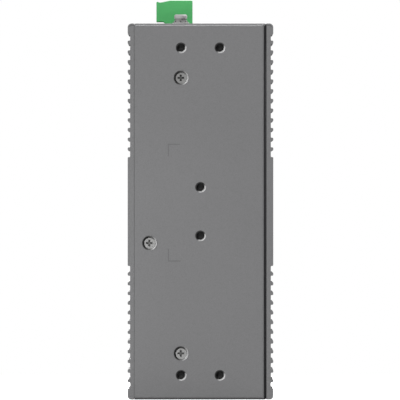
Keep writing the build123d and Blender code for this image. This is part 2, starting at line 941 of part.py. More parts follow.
def switch_heat_sink():
    """Finned heat sink on the switching chip."""
    half = sink_size / 2
    pitch = (sink_size - sink_fin) / (sink_fins - 1)
    sink = block(-half, half, -half, half, 0, sink_base)
    for i in range(sink_fins):
        x0 = i * pitch - half
        sink += block(x0, x0 + sink_fin, -half, half, 0, sink_height)
    return on_main_board(switch_chip_y, switch_chip_z, switch_chip_thickness) * sink


def port_magnetics():
    """Isolating transformers, one block behind each pair of sockets."""
    body = chip(magnetics_width, magnetics_height, magnetics_thickness)
    return join([on_main_board(magnetics_y, z) * body for z in pair_heights()])


def memory_chips():
    """Memory chips behind the switching chip and above it."""
    above = switch_chip_z + sink_size / 2 + memory_gap + memory_height / 2
    places = [(memory_y, switch_chip_z + side * memory_pitch / 2) for side in (-1, 1)]
    places.append((switch_chip_y, above))
    body = chip(memory_width, memory_height, memory_thickness)
    return join([on_main_board(y, z) * body for y, z in places])


def port_controllers():
    """Chips that control the power fed to the sockets, below and above the board link."""
    body = chip(controller_size, controller_size, controller_thickness)
    y = link_y - controller_back
    return join([on_main_board(y, link_z + side * controller_rise) * body for side in (-1, 1)])


def clock_crystal():
    """Crystal can on the main board."""
    body = rounded_part(crystal_width, crystal_height, crystal_thickness, crystal_corner)
    return on_main_board(switch_chip_y - crystal_back, switch_chip_z - crystal_drop) * body


def power_hole_places():
    """Places of the power board's screws, as (y, z)."""
    return [
        (y, z)
        for y in (board_rear_y + power_hole_inset_y, power_front_y - power_hole_inset_y)
        for z in (carrier_low_z + power_hole_inset_z, carrier_high_z - power_hole_inset_z)
    ]


def pole_places():
    """Position of each terminal pole along the block."""
    first = plug_y - (pole_count - 1) / 2 * pole_pitch
    return [first + i * pole_pitch for i in range(pole_count)]


def terminal_pins(grow=0.0):
    """Bent pins of the terminal header, grown on every side."""
    half = pin_size / 2 + grow
    low_z = header_low_z + header_floor / 2
    pins = []
    for y in pole_places():
        upright = block(
            nose_x - half, nose_x + half, y - half, y + half, low_z - half, header_top_z - pin_short
        )
        tail = block(nose_x, power_back_x + pin_tail, y - half, y + half, low_z - half, low_z + half)
        pins.append(upright + tail)
    return pins


def link_pins(grow=0.0):
    """Square pins of the link between the two boards, grown on every side."""
    half = link_pin / 2 + grow
    x0, x1 = power_face_x - link_pin_tail, board_face_x - link_pin_end
    first = link_y - (link_pin_count - 1) / 2 * link_pitch
    pins = []
    for z in (link_z - link_pitch / 2, link_z + link_pitch / 2):
        for i in range(link_pin_count):
            y = first + i * link_pitch
            pins.append(block(x0, x1, y - half, y + half, z - half, z + half))
    return pins


def link_block(x0, x1, margin=0.0):
    """Block of the link's length and height between two distances across the case."""
    half_y = link_pin_count * link_pitch / 2 + margin
    half_z = link_body / 2 + margin
    return block(x0, x1, link_y - half_y, link_y + half_y, link_z - half_z, link_z + half_z)


def power_board():
    """Power circuit board, upright in the middle of the case."""
    board = block(power_face_x, power_back_x, board_rear_y, power_front_y, power_low_z, power_top_z)
    hole = Cylinder(board_hole_radius, 4 * board_thickness)
    cuts = [Pos(power_face_x, y, z) * Rot(0, 90, 0) * hole for y, z in power_hole_places()]
    return board - cuts - terminal_pins(pin_hole_gap) - link_pins(link_clearance)


def link_header():
    """Long pin strip that joins the power board to the main board."""
    return link_block(power_back_x, power_back_x + link_base) + link_pins()


def link_socket():
    """Socket strip on the main board that takes the link's pins."""
    return link_block(board_face_x - link_socket_height, board_face_x) - link_pins(link_clearance)


def carrier():
    """Folded plate that carries the power board, with two tabs on the rear wall."""
    plate = block(carrier_x, carrier_far_x, board_rear_y, power_front_y, carrier_low_z, carrier_high_z)
    tab_end = carrier_screw_x - carrier_tab_reach
    section = angle_section(carrier_far_x, inner_rear_y, tab_end, board_rear_y, carrier_thickness)
    seat = screw_seat(4 * sheet)
    hole = Cylinder(m3_tap_radius, 4 * carrier_thickness)
    added, cuts = [], []
    for z in (carrier_screw_low_z, carrier_screw_high_z):
        low = z - carrier_tab_height / 2
        added.append(extrude(Plane.XY.offset(low) * section, carrier_tab_height))
        cuts.append(at(carrier_screw_x, rear_y, z, (0, -1, 0)) * seat)
    for y, z in power_hole_places():
        cuts.append(Pos(carrier_x, y, z) * Rot(0, 90, 0) * hole)
    cuts.append(link_block(carrier_x - sheet, carrier_far_x + sheet, link_window_margin))
    return plate + added - cuts


def power_standoffs():
    """Threaded pillars between the carrier and the power board."""
    pillar = ring(standoff_radius, m3_tap_radius, carrier_standoff)
    return join([at(power_back_x, y, z, (1, 0, 0)) * pillar for y, z in power_hole_places()])


def power_board_screws():
    """Screws that hold the power board to its pillars."""
    screw = pan_screw(board_thickness + carrier_standoff + carrier_thickness / 2)
    return join([at(power_face_x, y, z, (-1, 0, 0)) * screw for y, z in power_hole_places()])


def heat_spreader():
    """Plate that takes the power board's heat to the left side plate, with a tab on the rear wall."""
    low, high = transformer_z - spreader_below, transformer_z + spreader_above
    front = power_front_y - spreader_front_gap
    plate = block(spreader_x, spreader_far_x, board_rear_y, front, low, high)
    tab_end = spreader_screw_x + spreader_tab_reach
    section = angle_section(spreader_x, inner_rear_y, tab_end, board_rear_y, spreader_thickness)
    tab_low = spreader_screw_z - spreader_tab_height / 2
    tab = extrude(Plane.XY.offset(tab_low) * section, spreader_tab_height)
    seat = at(spreader_screw_x, rear_y, spreader_screw_z, (0, -1, 0)) * screw_seat(4 * sheet)
    return plate + tab - seat


def heat_pads():
    """Soft heat pads on both faces of the heat spreader."""
    low, high = transformer_z - spreader_below, transformer_z + spreader_above
    front = power_front_y - spreader_front_gap
    rim = pad_inset
    outer = block(left_plate_x, spreader_x, board_rear_y + rim, front - rim, low + rim, high - rim)
    half_y, half_z = core_width / 2, core_height / 2
    inner = block(
        spreader_far_x,
        core_x,
        transformer_y - half_y,
        transformer_y + half_y,
        transformer_z - half_z,
        transformer_z + half_z,
    )
    return join([outer, inner])


def transformer_block(x0, x1, half_y, half_z, shift_y=0.0, shift_z=0.0):
    """Block between two distances across the case, centred on the transformer or beside its middle."""
    y, z = transformer_y + shift_y, transformer_z + shift_z
    return block(x0, x1, y - half_y, y + half_y, z - half_z, z + half_z)


def transformer_core():
    """Ferrite core of the power transformer: two E halves that close round the winding."""
    core = transformer_block(core_x, core_far_x, core_width / 2, core_height / 2)
    gap = core_height / 2 - 2 * core_leg
    for side in (-1, 1):
        shift = side * (core_leg + gap / 2)
        core -= transformer_block(
            core_x + core_leg, core_far_x - core_leg, core_width, gap / 2, shift_z=shift
        )
    return core


def transformer_winding():
    """Taped winding and its bobbin round the core's middle leg."""
    x0 = core_x + core_leg + winding_gap
    x1 = core_far_x - core_leg - winding_gap
    half_y = winding_width / 2
    half_z = core_height / 2 - core_leg - winding_gap
    coil = transformer_block(x0, x1, half_y, half_z)
    coil = fillet(coil.edges().filter_by(Axis.X), winding_corner)
    coil -= transformer_block(x0 - sheet, x1 + sheet, core_width / 2 + winding_gap, core_leg + winding_gap)
    foot_x = power_face_x - bobbin_foot
    foot = transformer_block(foot_x, power_face_x, half_y, half_z)
    for side in (-1, 1):
        shift = side * (half_y - bobbin_leg / 2)
        foot += transformer_block(x1, power_face_x, bobbin_leg / 2, bobbin_leg_height / 2, shift_y=shift)
    return coil + foot


def power_inductors():
    """Shielded inductors on the power board."""
    half = inductor_size / 2
    body = block(-half, half, -half, half, 0, inductor_height)
    body = chamfer(body.edges().filter_by(Axis.Z), inductor_corner)
    y0 = part_row_y + part_row_pitch
    y1 = y0 + inductor_pitch
    low, high = part_row_z, suppressor_z - inductor_drop
    return join([on_power_board(y, z) * body for y, z in ((y0, low), (y1, low), (y1, high))])


def bulk_capacitors():
    """Electrolytic capacitors with a rolled groove near their foot."""
    radius = capacitor_radius
    height = power_face_x - spreader_far_x - capacitor_end_gap
    bead = capacitor_bead
    can = turned(
        [
            (0, 0),
            (radius, 0),
            (radius, capacitor_bead_z - bead),
            (radius - bead, capacitor_bead_z),
            (radius, capacitor_bead_z + bead),
            (radius, height - bead),
            (radius - bead, height),
            (0, height),
        ]
    )
    y = power_front_y - capacitor_inset
    first = transformer_z + capacitor_rise - (capacitor_count - 1) / 2 * capacitor_pitch
    heights = [first + i * capacitor_pitch for i in range(capacitor_count)]
    return join([on_power_board(y, z) * can for z in heights])


def alarm_relay():
    """Relay behind the alarm contacts of the terminal block."""
    body = rounded_part(relay_width, relay_height, relay_depth, relay_corner)
    return on_power_board(relay_y, relay_z) * body


def input_fuse():
    """Fuse block in the supply line."""
    return on_power_board(fuse_y, relay_z) * chip(fuse_width, fuse_height, fuse_depth)


def surge_suppressors():
    """Surge suppressor diodes at the supply terminals."""
    body = chip(suppressor_width, suppressor_height, suppressor_depth)
    return join([on_power_board(y, suppressor_z) * body for y in (part_row_y, fuse_y)])


def power_switches():
    """Power transistors on the power board."""
    body = chip(transistor_width, transistor_height, transistor_depth)
    high = link_z - transistor_drop
    places = [
        (y, z) for y in (part_row_y, part_row_y + part_row_pitch) for z in (high, high - transistor_pitch)
    ]
    return join([on_power_board(y, z) * body for y, z in places])


def power_controller():
    """Chip that runs the power converter."""
    body = chip(converter_size, converter_size, converter_depth)
    return on_power_board(part_row_y, part_row_z) * body


def terminal_header():
    """Shrouded header on the power board, open upward for the plug."""
    half_x = nose_width / 2 + nose_fit
    half_y = plug_length / 2 - nose_trim + nose_fit
    wall = header_wall
    floor_z = header_low_z + header_floor
    body = block(
        nose_x - half_x - wall,
        power_face_x,
        plug_y - half_y - wall,
        plug_y + half_y + wall,
        header_low_z,
        header_top_z,
    )
    room = block(
        nose_x - half_x, nose_x + half_x, plug_y - half_y, plug_y + half_y, floor_z, header_top_z + sheet
    )
    return body - room - terminal_pins(pin_fit)


def plug_profile():
    """Outline of the terminal plug seen along its row of poles."""
    left, top = plug_left_x, plug_top_z
    seat = header_top_z + plug_seat_gap
    under = body_height + plug_lip
    throat = left + plug_overhang + plug_under_bevel
    nose_end = header_top_z - nose_reach
    points = [
        (plug_right_x, seat),
        (plug_right_x, top - plug_edge),
        (plug_right_x - plug_edge, top),
        (left + shoulder_run, top),
        (left + shoulder_end, top - shoulder_drop),
        (left + bead_start, top - shoulder_drop),
        (left + bead_high, top - bead_drop),
        (left + bead_end, top - bead_drop),
        (left, top - bead_corner),
        (left, under),
        (left + plug_overhang, under),
        (throat, under - plug_under_bevel),
        (throat, seat),
        (nose_x - nose_width / 2, seat),
        (nose_x - nose_width / 2, nose_end),
        (nose_x + nose_width / 2, nose_end),
        (nose_x + nose_width / 2, seat),
    ]
    return make_face(Polyline(*points, close=True))


def terminal_plug():
    """Moulded plug with a wire mouth, a screw well and a contact pocket for every pole."""
    half = plug_length / 2
    body = extrude(Plane.XZ.offset(-plug_y - half) * plug_profile(), plug_length)
    nose_end = header_top_z - nose_reach
    seat = header_top_z + plug_seat_gap
    room = clamp_width / 2 + clamp_room
    mouth = wire_mouth_width / 2
    well = Rot(0, 90, 0) * Cylinder(screw_well_radius, 2 * clamp_left_wall)
    cuts = []
    for end in (plug_y - half, plug_y + half):
        cuts.append(block(plug_left_x, 0, end - nose_trim, end + nose_trim, nose_end, seat))
    for y in pole_places():
        cuts.append(Pos(plug_left_x, y, clamp_z) * well)
        cuts.append(
            block(
                clamp_x0 - clamp_room, clamp_x1 + clamp_room, y - room, y + room, clamp_low_z, clamp_high_z
            )
        )
        cuts.append(
            block(
                clamp_x0 + wire_mouth_left,
                clamp_x1 - wire_mouth_right,
                y - mouth,
                y + mouth,
                clamp_z,
                plug_top_z + sheet,
            )
        )
        cuts.append(
            block(
                nose_x - pocket_x / 2,
                nose_x + pocket_x / 2,
                y - pocket_y / 2,
                y + pocket_y / 2,
                nose_end - sheet,
                clamp_z,
            )
        )
    return body - cuts


def terminal_clamps():
    """Metal cages that grip the wires, each with a blade that presses on its pin."""
    half = clamp_width / 2
    room = half - clamp_cheek
    low, high = clamp_low_z + clamp_gap, clamp_high_z - clamp_gap
    blade_x = nose_x + pin_size / 2 + blade_gap
    blade_z = header_low_z + header_floor + blade_lift
    half_blade = blade_width / 2
    clamps = []
    for y in pole_places():
        cage = block(clamp_x0, clamp_x1, y - half, y + half, low, high)
        cage -= block(
            clamp_x0 + clamp_plate, clamp_x1 - clamp_back, y - room, y + room, low - sheet, high + sheet
        )
        cage -= Pos(clamp_x0, y, clamp_z) * Rot(0, 90, 0) * Cylinder(m3_tap_radius, 4 * clamp_plate)
        cage += block(
            blade_x, blade_x + blade_thickness, y - half_blade, y + half_blade, blade_z, low + clamp_cheek
        )
        cage += block(blade_x, clamp_x1, y - half_blade, y + half_blade, low, low + clamp_cheek)
        clamps.append(cage)
    return join(clamps)


def terminal_screws():
    """Slotted clamp screws, set into the plug's screw wells."""
    head = clamp_screw_head
    radius = clamp_screw_radius
    length = clamp_left_wall - clamp_screw_recess - head + clamp_screw_reach
    screw = turned(
        [(0, head), (radius, head), (radius, 0), (m3_radius, 0), (m3_radius, -length), (0, -length)]
    )
    screw -= Pos(0, 0, head) * Box(2 * radius, clamp_screw_slot, 2 * clamp_screw_slot_depth)
    foot = plug_left_x + clamp_screw_recess + head
    return join([at(foot, y, clamp_z, (-1, 0, 0)) * screw for y in pole_places()])


def ground_stack_heights():
    """Foot of the flat, tooth and spring washers and of the screw head on the top wall."""
    flat = body_height
    tooth = flat + flat_washer_height
    spring = tooth + tooth_washer_height
    head = spring + spring_washer_height
    return flat, tooth, spring, head


def ground_screw():
    """Pan head ground screw, which reaches through its clinch nut."""
    foot = ground_stack_heights()[3]
    reach = foot - inner_top + ground_nut_height + ground_tail
    screw = pan_screw(reach, ground_head_radius, ground_head_height)
    return Pos(ground_x, ground_y, foot) * Rot(0, 0, ground_turn) * screw


def flat_washer():
    """Flat washer under the ground screw."""
    foot = ground_stack_heights()[0]
    return Pos(ground_x, ground_y, foot) * ring(flat_washer_radius, m3_tap_radius, flat_washer_height)


def tooth_washer():
    """Tooth lock washer under the ground screw."""
    washer = ring(tooth_washer_radius, m3_tap_radius, tooth_washer_height)
    notch = Box(2 * tooth_notch_depth, tooth_notch_width, 4 * tooth_washer_height)
    notch = Pos(tooth_washer_radius, 0, 0) * Rot(0, 0, tooth_lean) * notch
    washer -= [Rot(0, 0, i * 360 / tooth_count) * notch for i in range(tooth_count)]
    return Pos(ground_x, ground_y, ground_stack_heights()[1]) * washer


def spring_washer():
    """Split spring washer under the ground screw."""
    washer = ring(spring_washer_radius, m3_tap_radius, spring_washer_height)
    middle = (spring_washer_radius + m3_tap_radius) / 2
    split = Box(2 * (spring_washer_radius - m3_tap_radius), spring_split, 4 * spring_washer_height)
    split = Pos(middle, 0, spring_washer_height / 2) * Rot(spring_lean, 0, 0) * split
    return Pos(ground_x, ground_y, ground_stack_heights()[2]) * (washer - Rot(0, 0, spring_turn) * split)


def ground_nut():
    """Clinch nut on the underside of the top wall."""
    nut = ring(ground_nut_radius, m3_tap_radius, ground_nut_height)
    return Pos(ground_x, ground_y, inner_top - ground_nut_height) * nut


def save(node, shape):
    """Write one node."""
    shape.label = node
    export_step(shape, f"parts/{node}.step")


def main():
    os.makedirs("parts", exist_ok=True)
    save("chassis_tray", chassis_tray())
    save("left_side_plate", side_plate(left_plate_x, left_plate_base, -1))
    save("right_side_plate", side_plate(right_plate_x, right_plate_base, 1))
    save("left_plate_screws", side_plate_screws(left_plate_x, left_plate_base, -1))
    save("right_plate_screws", side_plate_screws(right_plate_x, right_plate_base, 1))
    save("thermal_sheet", thermal_sheet())
    save("rear_screws", rear_screws())
    save("front_panel", front_panel())
    save("front_panel_screws", front_panel_screws())
    save("main_board", main_board())
    save("main_standoffs", main_standoffs())
    save("main_board_screws", main_board_screws())
    for i, z in enumerate(pair_heights()):
        save(f"socket_pair_{i + 1}", socket_pair(z))
    save("socket_shields", pair_shields())
    save("socket_contacts", socket_contacts())
    for i, z in enumerate(cage_heights()):
        save(f"module_cage_{i + 1}", module_cage(z))
    save("module_connectors", host_connectors())
    save("lamp_holders", lamp_holders())
    save("status_lamps", lamps())
    save("switch_chip", switch_chip())
    save("switch_heat_sink", switch_heat_sink())
    save("port_magnetics", port_magnetics())
    save("memory_chips", memory_chips())
    save("port_controllers", port_controllers())
    save("clock_crystal", clock_crystal())
    save("power_board", power_board())
    save("power_standoffs", power_standoffs())
    save("power_board_screws", power_board_screws())
    save("board_carrier", carrier())
    save("link_header", link_header())
    save("link_socket", link_socket())
    save("heat_spreader", heat_spreader())
    save("heat_pads", heat_pads())
    save("transformer_core", transformer_core())
    save("transformer_winding", transformer_winding())
    save("power_inductors", power_inductors())
    save("bulk_capacitors", bulk_capacitors())
    save("alarm_relay", alarm_relay())
    save("input_fuse", input_fuse())
    save("surge_suppressors", surge_suppressors())
    save("power_switches", power_switches())
    save("power_controller", power_controller())
    save("terminal_header", terminal_header())
    save("terminal_pins", join(terminal_pins()))
    save("terminal_plug", terminal_plug())
    save("terminal_clamps", terminal_clamps())
    save("terminal_screws", terminal_screws())
    save("ground_screw", ground_screw())
    save("ground_spring_washer", spring_washer())
    save("ground_tooth_washer", tooth_washer())
    save("ground_flat_washer", flat_washer())
    save("ground_nut", ground_nut())


main()
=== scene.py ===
import json
import math

import bpy
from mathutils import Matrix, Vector


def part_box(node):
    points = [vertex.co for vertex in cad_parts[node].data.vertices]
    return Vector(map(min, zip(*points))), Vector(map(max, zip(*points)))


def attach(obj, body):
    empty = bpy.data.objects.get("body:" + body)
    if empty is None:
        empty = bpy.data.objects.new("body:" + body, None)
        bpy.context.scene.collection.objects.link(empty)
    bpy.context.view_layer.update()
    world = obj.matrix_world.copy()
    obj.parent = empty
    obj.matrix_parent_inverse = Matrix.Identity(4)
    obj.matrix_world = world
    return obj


MM = 0.001

# Faces and places of the CAD model that the added pieces lie on, in millimetres: y of the rear wall's
# face, z of the top wall's, the outer radius of the folds, (x, z) of the tapped holes and the rear
# screws, and (x, y) of the ground screw.
REAR = -56.0
TOP = 155.0
FOLD = 1.2
TAPPED_HOLES = ((-8, 10), (8, 10), (-8, 145), (8, 145), (0, 67.5), (0, 87.5))
REAR_SCREWS = ((-8.1, 19.0), (-8.1, 132.6), (-21.1, 64.5))
GROUND_SCREW = (-8.15, -46.0)
SOCKET_PAIRS = 4

# How far a film stands proud of the face that it covers, in millimetres.
FILM = 0.0015

# The camera: lens and sensor in millimetres, and the frame's width and middle in metres at the rear
# wall.
LENS = 1700.0
SENSOR = 36.0
FRAME_WIDTH = 0.16485
FRAME_X, FRAME_Z = -0.0002, 0.08225

# Most of a noise texture's factor lies between these two.
NOISE_LOW, NOISE_HIGH = 0.3, 0.7

# Heights of a surface's bumps, in metres.
DEEP_RELIEF = 0.00003
RELIEF = 0.00002
FAINT_RELIEF = 0.00001

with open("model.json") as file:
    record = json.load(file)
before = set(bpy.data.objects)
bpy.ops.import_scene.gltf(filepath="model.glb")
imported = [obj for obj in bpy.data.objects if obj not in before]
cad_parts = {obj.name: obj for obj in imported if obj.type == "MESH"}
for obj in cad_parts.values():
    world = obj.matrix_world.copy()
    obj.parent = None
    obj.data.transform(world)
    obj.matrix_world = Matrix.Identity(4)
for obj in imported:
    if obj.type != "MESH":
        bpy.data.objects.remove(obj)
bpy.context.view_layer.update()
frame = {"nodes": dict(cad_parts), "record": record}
nodes = frame["nodes"]


# Materials.

def new_material(name, colour, metallic=0.0, roughness=0.5, specular=0.5, coat=0.0):
    """Material with its uniform values on the shader itself; returns it with its tree and shader."""
    material = bpy.data.materials.new(name)
    material.use_nodes = True
    tree = material.node_tree
    shader = tree.nodes["Principled BSDF"]
    shader.inputs["Base Color"].default_value = (*colour, 1)
    shader.inputs["Metallic"].default_value = metallic
    shader.inputs["Roughness"].default_value = roughness
    shader.inputs["Specular IOR Level"].default_value = specular
    shader.inputs["Coat Weight"].default_value = coat
    shader.inputs["Coat Roughness"].default_value = 0.1
    return material, tree, shader


def coordinates(tree, stretch=(1, 1, 1)):
    """Object coordinates in metres, stretched along the axes."""
    source = tree.nodes.new("ShaderNodeTexCoord")
    mapping = tree.nodes.new("ShaderNodeMapping")
    mapping.inputs["Scale"].default_value = stretch
    tree.links.new(source.outputs["Object"], mapping.inputs["Vector"])
    return mapping.outputs["Vector"]


def noise(tree, vector, scale, detail=2.0, roughness=0.5):
    """Factor of a noise texture, its scale in features a metre."""
    texture = tree.nodes.new("ShaderNodeTexNoise")
    texture.inputs["Scale"].default_value = scale
    texture.inputs["Detail"].default_value = detail
    texture.inputs["Roughness"].default_value = roughness
    tree.links.new(vector, texture.inputs["Vector"])
    return texture.outputs["Fac"]


def ramp(tree, factor, stops):
    """Colour ramp over a factor, from (place, colour) stops."""
    node = tree.nodes.new("ShaderNodeValToRGB")
    elements = node.color_ramp.elements
    while len(elements) < len(stops):
        elements.new(0.5)
    for element, (place, colour) in zip(elements, stops):
        element.position = place
        element.color = (*colour, 1)
    tree.links.new(factor, node.inputs["Fac"])
    return node.outputs["Color"]


def greys(*stops):
    """Stops of a grey ramp, from (place, brightness) pairs."""
    return [(place, (bright,) * 3) for place, bright in stops]


def scaled(colour, factor):
    return tuple(min(1.0, c * factor) for c in colour)


def tones(tree, factor, colour, low, high):
    """Colour that drifts from low to high times its brightness with a noise factor."""
    return ramp(tree, factor, [(NOISE_LOW, scaled(colour, low)), (NOISE_HIGH, scaled(colour, high))])


def spread(tree, factor, low, high, start=NOISE_LOW, end=NOISE_HIGH):
    """Map a factor to a range of values."""
    node = tree.nodes.new("ShaderNodeMapRange")
    node.inputs["From Min"].default_value = start
    node.inputs["From Max"].default_value = end
    node.inputs["To Min"].default_value = low
    node.inputs["To Max"].default_value = high
    tree.links.new(factor, node.inputs["Value"])
    return node.outputs["Result"]


def multiply(tree, first, second):
    """Product of two colours, or of a colour and a value."""
    mix = tree.nodes.new("ShaderNodeMix")
    mix.data_type = "RGBA"
    mix.blend_type = "MULTIPLY"
    mix.inputs["Factor"].default_value = 1.0
    tree.links.new(first, mix.inputs["A"])
    tree.links.new(second, mix.inputs["B"])
    return mix.outputs["Result"]


def bump(tree, shader, layers):
    """Chain of bumps on a shader, from (height, strength, distance) layers."""
    normal = None
    for height, strength, distance in layers:
        node = tree.nodes.new("ShaderNodeBump")
        node.inputs["Strength"].default_value = strength
        node.inputs["Distance"].default_value = distance
        tree.links.new(height, node.inputs["Height"])
        if normal is not None:
            tree.links.new(normal, node.inputs["Normal"])
        normal = node.outputs["Normal"]
    tree.links.new(normal, shader.inputs["Normal"])


def powder_coat(name, colour, roughness=0.42, relief=0.35):
    """Fine textured powder coat: tiny rounded grains, faint lighter specks and a slow drift of tone."""
    material, tree, shader = new_material(name, colour, roughness=roughness)
    where = coordinates(tree)
    grain = noise(tree, where, 2600, roughness=0.6)
    peel = noise(tree, where, 700)
    drift = noise(tree, where, 22)
    specks = ((0.28, 0.9), (0.5, 1.0), (0.66, 1.03), (0.8, 1.2))
    tone = ramp(tree, grain, [(place, scaled(colour, bright)) for place, bright in specks])
    shade = tones(tree, drift, (1, 1, 1), 0.965, 1.0)
    tree.links.new(multiply(tree, tone, shade), shader.inputs["Base Color"])
    uneven = spread(tree, peel, roughness * 0.92, roughness * 1.08)
    tree.links.new(uneven, shader.inputs["Roughness"])
    bump(tree, shader, [(peel, relief * 0.7, DEEP_RELIEF), (grain, relief, 1.1 * RELIEF)])
    return material


def crevice_shade(tree, colour, darkest, reach=0.0012):
    """Painted shade: darken a colour where the same object closes in on itself within a reach, in
    metres.
    """
    shade = tree.nodes.new("ShaderNodeAmbientOcclusion")
    shade.only_local = True
    shade.samples = 12
    shade.inputs["Distance"].default_value = reach
    return multiply(tree, colour, ramp(tree, shade.outputs["AO"], greys((0.35, darkest), (0.85, 1))))


def plated_metal(
    name, colour, roughness, scale, stretch=(1, 1, 1), strength=0.12, cloudy=0.14, darkest=1.0, vary=0.25
):
    """Plated metal with fine rolling or turning marks, cloudy tone and painted shade in its crevices.

    The roughness varies by its share vary, and the painted shade in the crevices goes down to darkest
    times the tone.
    """
    material, tree, shader = new_material(name, colour, metallic=1.0, roughness=roughness)
    fine = noise(tree, coordinates(tree, stretch), scale, detail=3.0)
    cloud = noise(tree, coordinates(tree), 160, detail=3.0)
    tone = tones(tree, cloud, colour, 1 - cloudy, 1 + cloudy / 2)
    if darkest < 1:
        tone = crevice_shade(tree, tone, darkest)
    tree.links.new(tone, shader.inputs["Base Color"])
    uneven = spread(tree, fine, roughness * (1 - vary), roughness * (1 + vary))
    tree.links.new(uneven, shader.inputs["Roughness"])
    bump(tree, shader, [(fine, strength, RELIEF)])
    return material


def paint_recess_shade(material, face, depth, darkest):
    """Painted shade in the recess of a screw's head, darker from its face down to a depth behind it, in
    metres along y.
    """
    tree = material.node_tree
    shader = tree.nodes["Principled BSDF"]
    colour = shader.inputs["Base Color"].links[0].from_socket
    parts = tree.nodes.new("ShaderNodeSeparateXYZ")
    tree.links.new(coordinates(tree), parts.inputs["Vector"])
    shade = spread(tree, parts.outputs["Y"], 1.0, darkest, start=face, end=face + depth)
    tree.links.new(multiply(tree, colour, shade), shader.inputs["Base Color"])


def dull(material, metallic=0.1, specular=0.5):
    """Take most of the metallic sheen off a plated metal."""
    shader = material.node_tree.nodes["Principled BSDF"]
    shader.inputs["Metallic"].default_value = metallic
    shader.inputs["Specular IOR Level"].default_value = specular


def moulded_plastic(name, colour, roughness, specular=0.5, grain=1500, strength=0.18):
    """Moulded plastic with fine spark texture and faint flow marks."""
    material, tree, shader = new_material(name, colour, roughness=roughness, specular=specular)
    where = coordinates(tree)
    fine = noise(tree, where, grain)
    flow = noise(tree, where, 90)
    tree.links.new(tones(tree, flow, colour, 0.94, 1.04), shader.inputs["Base Color"])
    tree.links.new(spread(tree, fine, roughness * 0.85, roughness * 1.2), shader.inputs["Roughness"])
    bump(tree, shader, [(fine, strength, RELIEF)])
    return material


def lit_and_shaded_edge(name, stops):
    """Edge with painted light and shade: bright as lit bare metal where the mesh's attribute of painted
    light is high, and dark as painted shade where it is low.
    """
    material, tree, shader = new_material(name, stops[-1][1], metallic=0.1)
    painted_light = tree.nodes.new("ShaderNodeAttribute")
    painted_light.attribute_name = "painted_light"
    tree.links.new(ramp(tree, painted_light.outputs["Fac"], stops), shader.inputs["Base Color"])
    fine = noise(tree, coordinates(tree), 2200)
    tree.links.new(spread(tree, fine, 0.45, 0.58), shader.inputs["Roughness"])
    bump(tree, shader, [(fine, 0.08, RELIEF)])
    return material


def circuit_board(name):
    """Solder mask over copper: traces show as slightly raised, lighter lines."""
    material, tree, shader = new_material(name, (0.02, 0.16, 0.07), roughness=0.3, coat=0.4)
    where = coordinates(tree)
    brick = tree.nodes.new("ShaderNodeTexBrick")
    brick.inputs["Scale"].default_value = 260
    brick.inputs["Mortar Size"].default_value = 0.06
    brick.inputs["Color1"].default_value = (0.018, 0.15, 0.065, 1)
    brick.inputs["Color2"].default_value = (0.02, 0.17, 0.075, 1)
    brick.inputs["Mortar"].default_value = (0.035, 0.26, 0.11, 1)
    turn = tree.nodes.new("ShaderNodeMapping")
    turn.inputs["Rotation"].default_value = (0, math.radians(90), 0)
    tree.links.new(where, turn.inputs["Vector"])
    tree.links.new(turn.outputs["Vector"], brick.inputs["Vector"])
    tree.links.new(brick.outputs["Color"], shader.inputs["Base Color"])
    fine = noise(tree, where, 1200)
    tree.links.new(spread(tree, fine, 0.24, 0.4), shader.inputs["Roughness"])
    bump(tree, shader, [(brick.outputs["Fac"], 0.2, DEEP_RELIEF), (fine, 0.08, FAINT_RELIEF)])
    return material


def lens(name, colour):
    """Clear moulded lamp lens, slightly cloudy."""
    material, tree, shader = new_material(name, colour, roughness=0.16, coat=0.6)
    shader.inputs["Transmission Weight"].default_value = 0.25
    cloud = noise(tree, coordinates(tree), 500)
    tree.links.new(tones(tree, cloud, colour, 0.9, 1.0), shader.inputs["Base Color"])
    tree.links.new(spread(tree, cloud, 0.12, 0.22), shader.inputs["Roughness"])
    bump(tree, shader, [(cloud, 0.05, RELIEF)])
    return material


GREY = (0.2, 0.2, 0.204)

# One finish for each of the record's material slots.
materials = {
    "case_paint": powder_coat("case_paint", GREY),
    "plate_paint": powder_coat("plate_paint", scaled(GREY, 0.99)),
    "plated_steel": plated_metal("plated_steel", (0.62, 0.61, 0.58), 0.3, 1400, (1, 1, 3)),
    "tinned_sheet": plated_metal(
        "tinned_sheet", (0.68, 0.68, 0.66), 0.34, 700, (1, 0.15, 1), strength=0.08
    ),
    "gold_contact": plated_metal(
        "gold_contact", (0.83, 0.6, 0.22), 0.22, 1600, (1, 0.2, 1), strength=0.05
    ),
    "green_plastic": moulded_plastic("green_plastic", (0.089, 0.468, 0.147), 0.4),
    "black_plastic": moulded_plastic("black_plastic", (0.022, 0.022, 0.024), 0.45),
    "circuit_board": circuit_board("circuit_board"),
    "chip_resin": moulded_plastic("chip_resin", (0.035, 0.035, 0.04), 0.55, grain=2400),
    "bare_aluminium": plated_metal(
        "bare_aluminium", (0.72, 0.73, 0.74), 0.36, 500, (1, 1, 0.1), strength=0.1
    ),
    "heat_pad": moulded_plastic(
        "heat_pad", (0.42, 0.45, 0.5), 0.75, specular=0.3, grain=900, strength=0.3
    ),
    "ferrite": moulded_plastic(
        "ferrite", (0.05, 0.05, 0.055), 0.6, specular=0.4, grain=1800, strength=0.4
    ),
    "winding_tape": moulded_plastic(
        "winding_tape", (0.62, 0.48, 0.07), 0.3, grain=600, strength=0.12
    ),
    "capacitor_sleeve": moulded_plastic(
        "capacitor_sleeve", (0.03, 0.035, 0.05), 0.24, grain=400, strength=0.05
    ),
    "lamp_lens": lens("lamp_lens", (0.72, 0.84, 0.72)),
}

